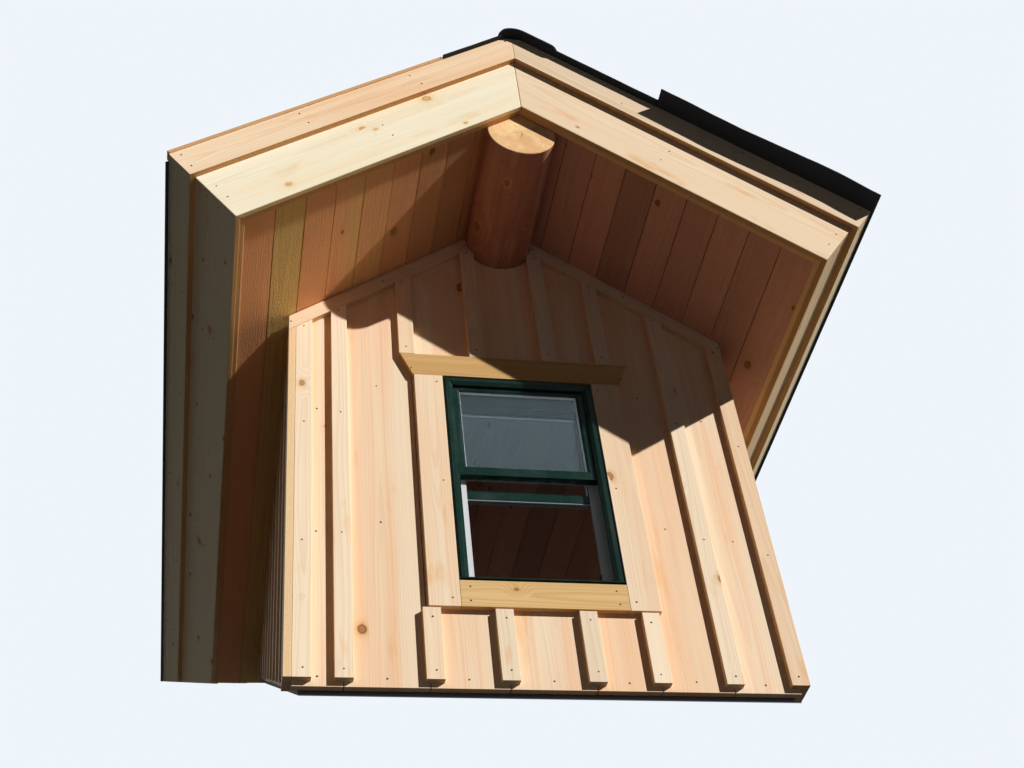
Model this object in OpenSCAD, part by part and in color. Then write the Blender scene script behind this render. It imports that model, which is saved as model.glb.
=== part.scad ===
// Gabled dormer window in board and batten, on a log ridge, cut to sit on a slope.
// Millimetres. X to the right, Y to the back, Z up. The origin lies on the slope that it sits on,
// at the middle of the front sill plate's underside.

/* [Roof] */
// Rise of the dormer roof in twelve of run
roof_rise = 9; // [7:0.5:11]
// Rise of the slope that the dormer sits on in twelve of run
main_rise = 8; // [6:0.5:9]
// Height of the ceiling boards' ridge line
apex_z = 2411; // [2300:1:2600]
// Reach of the lower fascia in front of the battens
overhang = 650; // [400:10:800]
// Length of the slope from the ridge line to the lower fascia's face
eave_s = 1440; // [1350:5:1600]
// Thickness of the lower fascia
fascia_t = 22; // [18:1:30]
// Lower edge of the fascia under the ceiling face
fascia_drop = 5; // [0:1:15]
// Width of the lower fascia
fascia_w = 286; // [260:1:300]
// Thickness of the trim board over the fascia
rim_t = 25; // [18:1:45]
// Width of the trim board over the fascia
rim_w = 140; // [110:1:150]
// Thickness of the board behind the fascia
backing_t = 25; // [18:1:38]
// Thickness of the ceiling boards
ceiling_t = 22; // [18:1:30]
// Spacing of the ceiling boards
ceiling_pitch = 144.5; // [120:0.5:190]
// Depth of the rafters
rafter_d = 286; // [235:1:290]
// Spacing of the rafters
rafter_pitch = 406; // [300:1:610]
// Depth of the purlins over the rafters
purlin_t = 64; // [25:1:89]
// Largest spacing of the purlins
purlin_pitch = 610; // [400:10:700]
// Thickness of the roof deck
deck_t = 22; // [15:1:28]
// Thickness of the roofing sheet
roofing_t = 4; // [3:0.5:8]
// Reach of the roofing past the trim boards along the eaves
eave_over = 12; // [5:1:25]
// Reach of the upper courses of roofing past the left rake
left_over = 22; // [10:1:60]
// Reach of the upper courses of roofing past the right rake
right_over = 33; // [10:1:60]
// Reach of the right slope's lowest course past the rake
low_over = 91; // [40:1:110]
// Length down the slope at which the lowest course starts
lap_s = 445; // [300:5:700]
// Overlap of one course of roofing on the next
lap_w = 100; // [50:5:150]
// Radius inside the bend of the ridge cap
cap_r = 70; // [20:1:80]
// Thickness of the ridge cap
cap_t = 6; // [4:0.5:8]
// End of the ridge cap on the left, down the slope
cap_left_s = -215; // [-220:5:-120]
// End of the ridge cap on the right, down the slope
cap_right_s = -60; // [-150:5:0]
// Radius of the ridge cap's front corners
cap_corner_r = 40; // [20:1:60]
// Reach of the ridge cap past the rakes
cap_over = 44; // [35:1:80]
// Length down the slope at which the left rake's strip starts
strip_s = 105; // [50:5:400]
// Reach of the strip past the rake
strip_over = 8; // [2:1:12]
// Width of the strip on the rake
strip_w = 42; // [30:1:60]
// Thickness of the strip
strip_t = 12; // [8:1:19]

/* [Ridge log] */
// Radius of the ridge log
log_r = 146; // [120:1:160]
// Depth of the log's centre under the ceiling's ridge line
log_drop = 125; // [100:1:150]

/* [Walls] */
// Width over the side corner boards
wall_w = 1830; // [1650:5:2100]
// Thickness of the studs and plates
stud_t = 38; // [35:1:45]
// Depth of the studs and plates
stud_d = 89; // [70:1:140]
// Thickness of the sheathing
sheath_t = 12; // [9:1:18]
// Thickness of the felt under the boards
felt_t = 2; // [1:0.5:4]
// Thickness of the wall boards
board_t = 25; // [18:1:30]
// Gap between neighbouring boards
board_gap = 3; // [2:0.5:6]
// Width of the leftmost front board
first_board_w = 174; // [140:1:190]
// Widths of the next front boards, up to the last one
front_board_widths = [290, 273, 302, 229, 261]; // [200:1:330]
// Reach of the front boards below the battens
board_drop = 20; // [10:1:25]
// Width of the battens
batten_w = 64; // [50:1:75]
// Thickness of the battens
batten_t = 25; // [18:1:30]
// Width of the boards on the cheeks
cheek_pitch = 265; // [200:5:300]
// Height of the cheek boards over the slope that it sits on
cheek_lift = 25; // [15:1:50]
// Width of the left front corner board
left_corner_w = 65; // [55:1:90]
// Width of the right front corner board
right_corner_w = 67; // [55:1:90]
// Thickness of the side corner boards
side_corner_t = 28; // [26:1:35]
// Width of the side corner boards
side_corner_w = 89; // [85:1:140]
// Width of the frieze boards
frieze_w = 64; // [50:1:90]

/* [Window] */
// Width over the window frame
window_w = 612; // [560:2:640]
// Height over the window frame
window_h = 1016; // [950:2:1060]
// Middle of the window to the right of the wall's middle
window_x = 5; // [-20:1:20]
// Height of the window frame's lower edge
window_z = 415; // [380:1:450]
// Height of the header over the window's opening
header_h = 140; // [89:1:184]
// Width of the boards around the window
trim_w = 114; // [89:1:120]
// Height of the head board
head_trim_h = 116; // [89:1:140]
// Flare of the head board's ends
head_flare = 47; // [20:1:50]
// Thickness of the frame's box
frame_t = 19; // [15:1:25]
// Width of the frame's outer face
frame_face_w = 38; // [34:1:45]
// Depth of the frame's outer face
frame_face_d = 20; // [15:1:24]
// Width of the slope on the outer face's inner edge
face_slope_w = 14; // [6:1:20]
// Depth of that slope
face_slope_d = 10; // [5:1:14]
// Height of the sill's front edge
sill_h = 14; // [10:1:25]
// Thickness of a sash
sash_t = 32; // [28:1:35]
// Height of both sashes
sash_h = 482; // [460:1:500]
// Width of the stiles and top rails
stile_w = 38; // [30:1:50]
// Height of the bottom rails
rail_h = 45; // [38:1:60]
// Width of the slope around the glass
bead_w = 9; // [4:1:12]
// Depth of that slope
bead_d = 6; // [3:0.5:7]
// Height of the raised lower sash over the sill
sash_lift = 400; // [0:5:420]
// Thickness over the double glass
glass_t = 16; // [12:1:20]
// Thickness of each of its panes
pane_t = 3; // [2:0.5:4]

/* [Hidden] */
roof_angle = atan(roof_rise / 12);
main_angle = atan(main_rise / 12);
roof_tan = roof_rise / 12;
main_tan = main_rise / 12;
reach = 6000;
touch_gap = 1;
sheet_gap = 3;
cut_over = 1;

// Faces of the front wall, from the studs out
y_stud = -stud_d / 2;
y_sheath = y_stud - sheath_t;
y_felt = y_sheath - felt_t;
y_board = y_felt - board_t;
y_front = y_board - batten_t;
y_inner = stud_d / 2;

// Faces of the cheeks, from the corner boards in
half_w = wall_w / 2;
x_board = half_w - side_corner_t;
x_felt = x_board - board_t;
x_sheath = x_felt - felt_t;
x_stud = x_sheath - sheath_t;
x_inner = x_stud - stud_d;

// The roof's layers, square to the slope, and its rim
y_rake = y_front - overhang;
rafter_n = ceiling_t;
purlin_n = rafter_n + rafter_d;
deck_n = purlin_n + purlin_t;
roof_n = deck_n + deck_t;
rim_n = roof_n - rim_w;
y_trim = y_rake - rim_t;
y_ceiling = y_rake + fascia_t + backing_t;
ceiling_s = eave_s - fascia_t - backing_t;
log_z = apex_z - log_drop;

// The ridge cap's bend: the height of its centre and of its feet on the slopes
cap_z = apex_z + (roof_n + roofing_t - cap_r) / cos(roof_angle);
cap_foot_z = cap_z + cap_r * cos(roof_angle);

// The window's rough opening
rough_gap = 6;
open_x0 = window_x - window_w / 2 - rough_gap;
open_x1 = window_x + window_w / 2 + rough_gap;
open_z0 = window_z - rough_gap;
open_z1 = window_z + window_h + rough_gap;

// Places of the joints between the front boards
function sum_of(list, count) = count == 0 ? 0 : list[count - 1] + sum_of(list, count - 1);
front_joints = [for (i = [0 : len(front_board_widths)]) first_board_w - x_board + sum_of(front_board_widths, i)];

function ceiling_z(x) = apex_z - roof_tan * abs(x);
function main_z(y) = main_tan * y;
function square_to_main(t) = t / cos(main_angle);

// Block between two corners
module block(low, high) {
  translate(low) cube(high - low);
}

// The part of a shape that is above the dormer's seat, the slope that it sits on, raised by lift
module above_seat(lift = 0) {
  intersection() {
    children();
    translate([0, 0, lift]) rotate([main_angle, 0, 0])
      block([-reach, -reach, 0], [reach, reach, reach]);
  }
}

// The part of a shape that is under the ceiling lowered by drop, square to the slope
module under_ceiling(drop = 0) {
  top = apex_z - drop / cos(roof_angle);
  intersection() {
    children();
    translate([0, reach, 0]) rotate([90, 0, 0]) linear_extrude(2 * reach)
      polygon([[0, top], [-reach, top - roof_tan * reach], [-reach, -reach],
               [reach, -reach], [reach, top - roof_tan * reach]]);
  }
}

// A shape without the room that the ridge log takes
module around_log() {
  difference() {
    children();
    translate([0, reach, log_z]) rotate([90, 0, 0])
      cylinder(h = 2 * reach, r = log_r + touch_gap, $fn = 96);
  }
}

// A shape on the left as it is, or mirrored from the right
module on_side(side) {
  if (side < 0) mirror([1, 0, 0]) children();
  else children();
}

// A piece of one slope, given as x down the slope, y into the roof and z square to it
module on_slope(side, ridge_gap = touch_gap) {
  on_side(side) above_seat() intersection() {
    block([ridge_gap / 2, -reach, -reach], [reach, reach, cap_foot_z - touch_gap]);
    translate([0, 0, apex_z]) rotate([0, roof_angle, 0]) children();
  }
}

// A layer of one slope between two heights over the ceiling face
module slope_layer(side, low, high, front, eave, ridge_gap = touch_gap) {
  on_slope(side, ridge_gap) block([-reach / 10, front, low], [eave, reach, high]);
}

// Board along the rake, mitred at the eave, its outer face at a distance out from the fascia's
module rake_board(side, out, t, low, high) {
  on_slope(side) translate([0, 0, low]) linear_extrude(high - low)
    polygon([[-reach / 10, y_rake - out], [eave_s + out, y_rake - out],
             [eave_s + out - t, y_rake - out + t], [-reach / 10, y_rake - out + t]]);
}

// Board along the eave, mitred to the rake board
module eave_board(side, out, t, low, high) {
  on_slope(side) translate([0, 0, low]) linear_extrude(high - low)
    polygon([[eave_s + out, y_rake - out], [eave_s + out, reach],
             [eave_s + out - t, reach], [eave_s + out - t, y_rake - out + t]]);
}

// Framing

sill_top = main_z(y_inner) + stud_t;
cheek_plate_z = ceiling_z(x_stud) - stud_t;
sole_lift = square_to_main(stud_t);

module sill_plate() {
  color("burlywood") above_seat()
    block([-x_stud, y_stud, -reach / 10], [x_stud, y_inner, sill_top]);
}

module cheek_sole_plates() {
  color("burlywood") for (side = [-1, 1]) on_side(side) intersection() {
    rotate([main_angle, 0, 0]) block([x_inner, -reach, 0], [x_stud, reach, stud_t]);
    block([x_inner, y_inner, -reach], [x_stud, reach, cheek_plate_z]);
  }
}

module top_plates() {
  color("burlywood") for (side = [-1, 1]) {
    on_side(side) above_seat() under_ceiling()
      block([x_inner, y_stud, cheek_plate_z], [x_stud, reach, apex_z]);
    on_side(side) around_log() intersection() {
      translate([0, 0, apex_z]) rotate([0, roof_angle, 0])
        block([0, y_stud, -stud_t], [reach, y_inner, 0]);
      block([touch_gap, y_stud, 0], [x_inner - touch_gap, y_inner, apex_z]);
    }
  }
}

module front_stud(x0, x1, z0, z1) {
  under_ceiling(stud_t) block([x0, y_stud, z0], [x1, y_inner, z1]);
}

module cheek_studs(side) {
  last = floor((cheek_plate_z / main_tan - y_inner - 2 * stud_d) / rafter_pitch);
  on_side(side) for (i = [0 : last]) {
    y = y_stud + i * rafter_pitch;
    above_seat(sole_lift)
      block([x_inner, y, i == 0 ? sill_top : 0], [x_stud, y + stud_t, cheek_plate_z]);
  }
}

module wall_studs() {
  half = stud_t / 2;
  color("wheat") {
    for (side = [-1, 1]) cheek_studs(side);
    for (x = [open_x0 - 2 * stud_t - touch_gap, open_x1 + stud_t + touch_gap])
      front_stud(x, x + stud_t, sill_top, apex_z);
    for (x = [(open_x0 - 2 * stud_t - x_inner) / 2, (open_x1 + 2 * stud_t + x_inner) / 2])
      front_stud(x - half, x + half, sill_top, apex_z);
    for (x = [open_x0 - stud_t, open_x1])
      front_stud(x, x + stud_t, sill_top, open_z1);
    front_stud(window_x - half, window_x + half, sill_top, open_z0 - stud_t);
    front_stud(-stud_t, stud_t, open_z1 + header_h, log_z - log_r);
  }
}

module window_framing() {
  color("burlywood") {
    block([open_x0 + touch_gap, y_stud, open_z0 - stud_t], [open_x1 - touch_gap, y_inner, open_z0]);
    block([open_x0 - stud_t, y_stud, open_z1], [open_x1 + stud_t, y_inner, open_z1 + header_h]);
  }
}

// Walls

// Outline pieces of the front wall beside, under and over the window's opening
module front_panels(y0, y1, x_out, bottom, gap) {
  around_log() under_ceiling() {
    block([-x_out, y0, bottom], [open_x0, y1, reach]);
    block([open_x1, y0, bottom], [x_out, y1, reach]);
    block([open_x0 + gap, y0, bottom], [open_x1 - gap, y1, open_z0]);
    block([open_x0 + gap, y0, open_z1], [open_x1 - gap, y1, reach]);
  }
}

module front_sheathing() {
  color("tan") above_seat() front_panels(y_sheath, y_stud, x_sheath, -reach / 10, sheet_gap);
}

module cheek_sheathing() {
  color("tan") for (side = [-1, 1]) on_side(side) above_seat() under_ceiling()
    block([x_stud, y_stud, -reach / 10], [x_sheath, reach, reach]);
}

flashing_top = 60;
flashing_reach = 30;

module wall_felt() {
  color([0.12, 0.12, 0.13]) {
    front_panels(y_felt, y_sheath, x_felt, flashing_top + touch_gap, 0);
    for (side = [-1, 1]) on_side(side) above_seat() under_ceiling()
      block([x_sheath, y_sheath, -reach / 10], [x_felt, reach, reach]);
  }
}

// Bent metal strip, behind the boards and out over the slope that the dormer sits on
module base_flashing() {
  lie_t = square_to_main(felt_t);
  y_out = y_board - flashing_reach;
  color([0.16, 0.16, 0.17]) translate([-x_felt, 0, 0]) rotate([90, 0, 90])
    linear_extrude(2 * x_felt) polygon([
      [y_sheath, main_z(y_sheath)], [y_sheath, flashing_top], [y_felt, flashing_top],
      [y_felt, main_z(y_felt) + lie_t], [y_out, main_z(y_out) + lie_t], [y_out, main_z(y_out)]]);
}

// One front board between two joints, cut around the window's opening
module front_board(x0, x1) {
  a = x0 + board_gap / 2;
  b = x1 - board_gap / 2;
  if (b < open_x0 || a > open_x1) {
    block([a, y_board, -board_drop], [b, y_felt, reach]);
  } else {
    block([a, y_board, -board_drop], [b, y_felt, open_z0]);
    block([a, y_board, open_z1], [b, y_felt, reach]);
    if (a < open_x0 - board_gap)
      block([a, y_board, open_z0 + board_gap], [open_x0, y_felt, open_z1 - board_gap]);
    if (b > open_x1 + board_gap)
      block([open_x1, y_board, open_z0 + board_gap], [b, y_felt, open_z1 - board_gap]);
  }
}

module front_boards() {
  edges = concat([-x_board], front_joints, [x_board]);
  color([0.93, 0.76, 0.62]) around_log() under_ceiling()
    for (i = [0 : len(front_joints)]) front_board(edges[i], edges[i + 1]);
}

module cheek_boards(side) {
  count = ceil((ceiling_z(x_board) / main_tan - y_felt) / cheek_pitch);
  color([0.88, 0.68, 0.5]) on_side(side) above_seat(cheek_lift) under_ceiling()
    for (i = [0 : count - 1]) {
      y = y_felt + i * cheek_pitch;
      block([x_felt, y + (i == 0 ? 0 : board_gap / 2), -reach / 10],
            [x_board, y + cheek_pitch - board_gap / 2, reach]);
    }
}

module cheek_battens() {
  last = floor((ceiling_z(x_board) / main_tan - y_felt) / cheek_pitch - 0.5);
  color([0.95, 0.8, 0.66]) for (side = [-1, 1]) on_side(side)
    above_seat(cheek_lift + board_drop) under_ceiling() for (i = [1 : last]) {
      y = y_felt + i * cheek_pitch;
      block([x_board, y - batten_w / 2, 0], [x_board + batten_t, y + batten_w / 2, reach]);
    }
}

trim_z0 = window_z - touch_gap - trim_w;
head_z0 = window_z + window_h;

module batten(x, z0, z1) {
  under_ceiling(frieze_w + touch_gap)
    block([x - batten_w / 2, y_front, z0], [x + batten_w / 2, y_board, z1]);
}

module front_battens() {
  last = len(front_joints) - 1;
  lean = batten_w / 4;
  color([0.96, 0.82, 0.68]) {
    batten(front_joints[0], 0, reach);
    batten(front_joints[last], 0, reach);
    for (i = [1 : last - 1]) {
      shift = i == 1 ? lean : 0;
      batten(front_joints[i] + shift, 0, trim_z0 - rough_gap);
      batten(front_joints[i] - shift, head_z0 + head_trim_h + touch_gap, reach);
    }
  }
}

module front_corner_boards() {
  left = -x_board + touch_gap;
  color([0.95, 0.8, 0.65]) under_ceiling(frieze_w + touch_gap) {
    block([left, y_front, 0], [left + left_corner_w, y_board, reach]);
    block([half_w - right_corner_w, y_front, 0], [half_w, y_board, reach]);
  }
}

module side_corner_boards() {
  color([0.93, 0.76, 0.56]) {
    difference() {
      under_ceiling() block([-half_w, y_front, 0], [-x_board, y_front + side_corner_w, reach]);
      on_side(-1) translate([0, 0, apex_z]) rotate([0, roof_angle, 0])
        block([0, -reach, -frieze_w - touch_gap], [reach, y_board, reach]);
    }
    under_ceiling() block([x_board, y_board, 0], [half_w, y_board + side_corner_w, reach]);
  }
}

module friezes() {
  color([0.96, 0.8, 0.66]) for (side = [-1, 1]) on_side(side) around_log() intersection() {
    translate([0, 0, apex_z]) rotate([0, roof_angle, 0])
      block([0, y_front, -frieze_w], [reach, y_board, 0]);
    block([touch_gap, y_front, 0], [half_w, y_board, apex_z]);
  }
}

// Window

frame_x0 = window_x - window_w / 2;
frame_x1 = window_x + window_w / 2;
frame_y1 = y_inner;
box_x0 = frame_x0 + frame_t;
box_x1 = frame_x1 - frame_t;
box_z1 = head_z0 - frame_t;
sill_slope = 0.12;
face_y1 = y_front + frame_face_d;

function sill_z(y) = window_z + sill_h + (y - y_front) * sill_slope;

// Mitred slope around an opening, from its edges at the depth out to the flare at the face y
module mitred_slope(x0, x1, low_face, low_deep, high, y, depth, flare) {
  intersection() {
    linear_extrude(reach) polygon([[x0 - 2 * flare, y - depth], [x1 + 2 * flare, y - depth],
                                   [x1, y + depth], [x0, y + depth]]);
    translate([-reach, 0, 0]) rotate([90, 0, 90]) linear_extrude(2 * reach)
      polygon([[y - depth, 2 * low_face - low_deep], [y + depth, low_deep],
               [y + depth, high], [y - depth, high + 2 * flare]]);
  }
}

// Opening through the frame between two depths, down to the sloping sill
module frame_opening(inset, y0, y1) {
  translate([frame_x0 + inset, 0, 0]) rotate([90, 0, 90]) linear_extrude(window_w - 2 * inset)
    polygon([[y0, sill_z(y0)], [y1, sill_z(y1)], [y1, head_z0 - inset], [y0, head_z0 - inset]]);
}

module window_frame() {
  low_deep = sill_z(y_front + face_slope_d);
  color([0.07, 0.2, 0.16]) difference() {
    block([frame_x0, y_front, window_z], [frame_x1, frame_y1, head_z0]);
    frame_opening(frame_t, face_y1, frame_y1 + cut_over);
    frame_opening(frame_face_w, y_front - cut_over, face_y1 + cut_over);
    mitred_slope(frame_x0 + frame_face_w, frame_x1 - frame_face_w, sill_z(y_front), low_deep,
                 head_z0 - frame_face_w, y_front, face_slope_d, face_slope_w);
  }
}

// The sashes' places, from the frame's face in
sash_clear = 1;
liner_t = 8;
parting_t = 6;
stop_t = 10;
parting_reach = 14;
stop_reach = 28;
upper_y0 = face_y1 + sash_clear;
upper_y1 = upper_y0 + sash_t;
parting_y = upper_y1 + sash_clear;
lower_y0 = parting_y + parting_t + sash_clear;
lower_y1 = lower_y0 + sash_t;
stop_y = lower_y1 + sash_clear;
sash_x0 = box_x0 + liner_t + 2 * sash_clear;
sash_x1 = box_x1 - liner_t - 2 * sash_clear;
upper_z0 = box_z1 - 2 * sash_clear - sash_h;
lower_z0 = sill_z(lower_y1) + sash_clear + sash_lift;

module liner_outline() {
  polygon([[0, face_y1], [liner_t, face_y1], [liner_t, parting_y], [liner_t + parting_reach, parting_y],
           [liner_t + parting_reach, parting_y + parting_t], [liner_t, parting_y + parting_t],
           [liner_t, stop_y], [liner_t + stop_reach, stop_y], [liner_t + stop_reach, stop_y + stop_t],
           [0, stop_y + stop_t]]);
}

module jamb_liners() {
  foot = sill_z(stop_y + stop_t) + touch_gap;
  color([0.75, 0.76, 0.76]) {
    translate([box_x0, 0, foot]) linear_extrude(box_z1 - foot) liner_outline();
    translate([box_x1, 0, foot]) mirror([1, 0, 0]) linear_extrude(box_z1 - foot) liner_outline();
  }
}

groove = 8;

module sash(y0, z0) {
  mid = y0 + sash_t / 2;
  low = z0 + rail_h;
  difference() {
    block([sash_x0, y0, z0], [sash_x1, y0 + sash_t, z0 + sash_h]);
    block([sash_x0 + stile_w, y0 - cut_over, low],
          [sash_x1 - stile_w, y0 + sash_t + cut_over, z0 + sash_h - stile_w]);
    mitred_slope(sash_x0 + stile_w, sash_x1 - stile_w, low - bead_w, low,
                 z0 + sash_h - stile_w, y0, bead_d, bead_w);
    block([sash_x0 + stile_w - groove, mid - glass_t / 2, z0 + rail_h - groove],
          [sash_x1 - stile_w + groove, mid + glass_t / 2, z0 + sash_h - stile_w + groove]);
  }
}

module sash_glass(y0, z0) {
  front = y0 + (sash_t - glass_t) / 2;
  for (y = [front, front + glass_t - pane_t])
    block([sash_x0 + stile_w - groove, y, z0 + rail_h - groove],
          [sash_x1 - stile_w + groove, y + pane_t, z0 + sash_h - stile_w + groove]);
}

module upper_sash() {
  color([0.09, 0.25, 0.2]) sash(upper_y0, upper_z0);
}

module upper_glass() {
  color([0.6, 0.72, 0.76, 0.5]) sash_glass(upper_y0, upper_z0);
}

module lower_sash() {
  color([0.09, 0.25, 0.2]) sash(lower_y0, lower_z0);
}

module lower_glass() {
  color([0.6, 0.72, 0.76, 0.5]) sash_glass(lower_y0, lower_z0);
}

module head_trim() {
  low0 = frame_x0 - touch_gap - trim_w - rough_gap;
  low1 = frame_x1 + touch_gap + trim_w + rough_gap;
  color([0.93, 0.78, 0.55]) translate([0, y_board, head_z0 + touch_gap / 2]) rotate([90, 0, 0])
    linear_extrude(batten_t)
      polygon([[low0, 0], [low1, 0], [low1 + head_flare, head_trim_h], [low0 - head_flare, head_trim_h]]);
}

module left_trim() {
  color([0.95, 0.8, 0.66]) block([frame_x0 - touch_gap - trim_w, y_front, trim_z0],
                                 [frame_x0 - touch_gap, y_board, head_z0]);
}

module right_trim() {
  color([0.95, 0.8, 0.66]) block([frame_x1 + touch_gap, y_front, trim_z0],
                                 [frame_x1 + touch_gap + trim_w, y_board, head_z0]);
}

module apron_trim() {
  color([0.9, 0.74, 0.5]) block([frame_x0, y_front, trim_z0],
                                [frame_x1, y_board, window_z - touch_gap]);
}

// Roof

module ridge_log() {
  color([0.85, 0.62, 0.42]) above_seat() under_ceiling()
    translate([0, reach, log_z]) rotate([90, 0, 0])
      cylinder(h = reach - y_ceiling, r = log_r, $fn = 96);
}

module ridge_board() {
  color("burlywood") above_seat() intersection() {
    block([-stud_t / 2, y_ceiling, 0], [stud_t / 2, reach, reach]);
    union() for (side = [-1, 1]) on_side(side) translate([0, 0, apex_z]) rotate([0, roof_angle, 0])
      block([-reach / 10, y_ceiling, rafter_n], [stud_t, reach, purlin_n]);
  }
}

module ceiling_boards(side) {
  count = ceil(ceiling_s / ceiling_pitch);
  color([0.86, 0.62, 0.38]) on_slope(side) for (i = [0 : count - 1]) {
    high = ceiling_s - i * ceiling_pitch;
    low = max(high - ceiling_pitch + board_gap, -ceiling_t);
    block([low, y_ceiling, 0], [high, reach, ceiling_t]);
  }
}

module rafters() {
  back = (apex_z + rafter_n + rafter_d / 2) / main_tan;
  last = floor((back - y_ceiling) / rafter_pitch);
  color("wheat") for (side = [-1, 1]) for (i = [0 : last]) {
    y = y_ceiling + i * rafter_pitch;
    on_slope(side, stud_t) block([-reach / 10, y, rafter_n], [ceiling_s, y + stud_t, purlin_n]);
  }
}

// Flat purlins, from near the ridge to the rafters' ends
module purlins() {
  first = stud_d;
  run = ceiling_s - stud_d - first;
  count = ceil(run / purlin_pitch);
  color("burlywood") for (side = [-1, 1]) on_slope(side) for (i = [0 : count]) {
    s = first + i * run / count;
    block([s, y_ceiling, purlin_n], [s + stud_d, reach, deck_n]);
  }
}

module roof_deck() {
  color("tan") for (side = [-1, 1]) slope_layer(side, deck_n, roof_n, y_rake, eave_s, sheet_gap);
}

module left_rake_fascia() {
  color([0.95, 0.8, 0.6]) rake_board(-1, 0, fascia_t, -fascia_drop, fascia_w - fascia_drop);
}

module right_rake_fascia() {
  color([0.9, 0.7, 0.5]) rake_board(1, 0, fascia_t, -fascia_drop, fascia_w - fascia_drop);
}

module left_rake_trim() {
  color([0.93, 0.74, 0.52]) rake_board(-1, rim_t, rim_t, rim_n, roof_n);
}

module right_rake_trim() {
  color([0.88, 0.68, 0.5]) rake_board(1, rim_t, rim_t, rim_n, roof_n);
}

module eave_fascias() {
  color([0.85, 0.68, 0.5]) for (side = [-1, 1])
    eave_board(side, 0, fascia_t, -fascia_drop, fascia_w - fascia_drop);
}

module eave_trims() {
  color([0.87, 0.7, 0.5]) for (side = [-1, 1]) eave_board(side, rim_t, rim_t, rim_n, roof_n);
}

module rim_backing() {
  color("burlywood") for (side = [-1, 1]) {
    rake_board(side, -fascia_t, backing_t, 0, deck_n);
    eave_board(side, -fascia_t, backing_t, 0, deck_n);
  }
}

module rake_strip() {
  y0 = y_trim - strip_over;
  color([0.95, 0.82, 0.62]) on_slope(-1)
    block([strip_s, y0, roof_n], [eave_s + rim_t, y0 + strip_w, roof_n + strip_t]);
}

// Two courses of roofing on one slope, the upper one lapped over the lowest
module roofing(side, upper_over, lowest_over) {
  step = roof_n + roofing_t;
  bend = 2 * roofing_t;
  on_slope(side) {
    block([lap_s, y_trim - lowest_over, roof_n], [eave_s + rim_t + eave_over, reach, step]);
    translate([0, reach, 0]) rotate([90, 0, 0]) linear_extrude(reach - y_trim + upper_over)
      polygon([[-reach / 10, roof_n], [lap_s, roof_n], [lap_s, step], [lap_s + lap_w, step],
               [lap_s + lap_w, step + roofing_t], [lap_s, step + roofing_t],
               [lap_s - bend, step], [-reach / 10, step]]);
  }
}

module left_roofing() {
  color([0.1, 0.1, 0.11]) difference() {
    roofing(-1, left_over, eave_over);
    on_slope(-1) block([strip_s - touch_gap, -reach, 0],
                       [eave_s + rim_t + touch_gap, y_trim - strip_over + strip_w + touch_gap, reach]);
  }
}

module right_roofing() {
  color([0.1, 0.1, 0.11]) roofing(1, right_over, low_over);
}

// Leg of the ridge cap on one slope, with a round front corner
module cap_leg(side, end_s) {
  y0 = y_trim - cap_over;
  bend_s = -(roof_n + roofing_t - cap_r) * roof_tan;
  corner_r = min(cap_corner_r, end_s - bend_s);
  on_side(side) translate([0, 0, apex_z]) rotate([0, roof_angle, 0])
    translate([0, 0, roof_n + roofing_t]) linear_extrude(cap_t) {
      polygon(concat([[bend_s, reach], [bend_s, y0]],
                     [for (a = [-90 : 15 : 0]) [end_s - corner_r * (1 - cos(a)), y0 + corner_r * (1 + sin(a))]],
                     [[end_s, reach]]));
    }
}

module ridge_cap() {
  y0 = y_trim - cap_over;
  turns = [-roof_angle : roof_angle / 4 : roof_angle];
  color([0.08, 0.08, 0.09]) above_seat() {
    cap_leg(-1, cap_left_s);
    cap_leg(1, cap_right_s);
    translate([0, reach, cap_z]) rotate([90, 0, 0]) linear_extrude(reach - y0)
      polygon(concat([for (a = turns) cap_r * [sin(a), cos(a)]],
                     [for (a = turns) (cap_r + cap_t) * [-sin(a), cos(a)]]));
  }
}

sill_plate();
cheek_sole_plates();
wall_studs();
top_plates();
window_framing();
front_sheathing();
cheek_sheathing();
wall_felt();
base_flashing();
front_boards();
front_battens();
front_corner_boards();
side_corner_boards();
friezes();
cheek_boards(-1);  // left_cheek_boards
cheek_boards(1);  // right_cheek_boards
cheek_battens();
window_frame();
jamb_liners();
upper_sash();
upper_glass();
lower_sash();
lower_glass();
head_trim();
left_trim();
right_trim();
apron_trim();
ridge_log();
ridge_board();
ceiling_boards(-1);  // left_ceiling
ceiling_boards(1);  // right_ceiling
rafters();
purlins();
roof_deck();
left_rake_fascia();
right_rake_fascia();
left_rake_trim();
right_rake_trim();
eave_fascias();
eave_trims();
rim_backing();
left_roofing();
right_roofing();
ridge_cap();
rake_strip();
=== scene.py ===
"""Gabled roof dormer of fresh softwood boards, with a log ridge, a green sash window and black roofing."""

import math
import random

import bmesh
import bpy
from mathutils import Matrix, Vector, noise
from mathutils.bvhtree import BVHTree


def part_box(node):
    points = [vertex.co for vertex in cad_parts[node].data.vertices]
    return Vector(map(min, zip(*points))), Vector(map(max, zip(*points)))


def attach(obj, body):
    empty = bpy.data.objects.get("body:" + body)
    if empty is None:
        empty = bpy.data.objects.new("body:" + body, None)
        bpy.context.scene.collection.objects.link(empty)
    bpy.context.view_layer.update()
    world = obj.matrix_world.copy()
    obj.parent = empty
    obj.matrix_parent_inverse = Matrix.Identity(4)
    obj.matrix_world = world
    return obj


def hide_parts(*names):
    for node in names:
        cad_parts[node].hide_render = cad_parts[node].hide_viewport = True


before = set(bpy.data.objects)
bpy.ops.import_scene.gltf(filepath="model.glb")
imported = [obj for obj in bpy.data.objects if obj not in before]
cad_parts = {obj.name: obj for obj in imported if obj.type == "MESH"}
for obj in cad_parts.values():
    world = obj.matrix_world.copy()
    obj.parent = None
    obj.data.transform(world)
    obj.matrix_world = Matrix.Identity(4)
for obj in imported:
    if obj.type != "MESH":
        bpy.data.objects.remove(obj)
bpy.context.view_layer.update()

MM = 0.001
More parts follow.
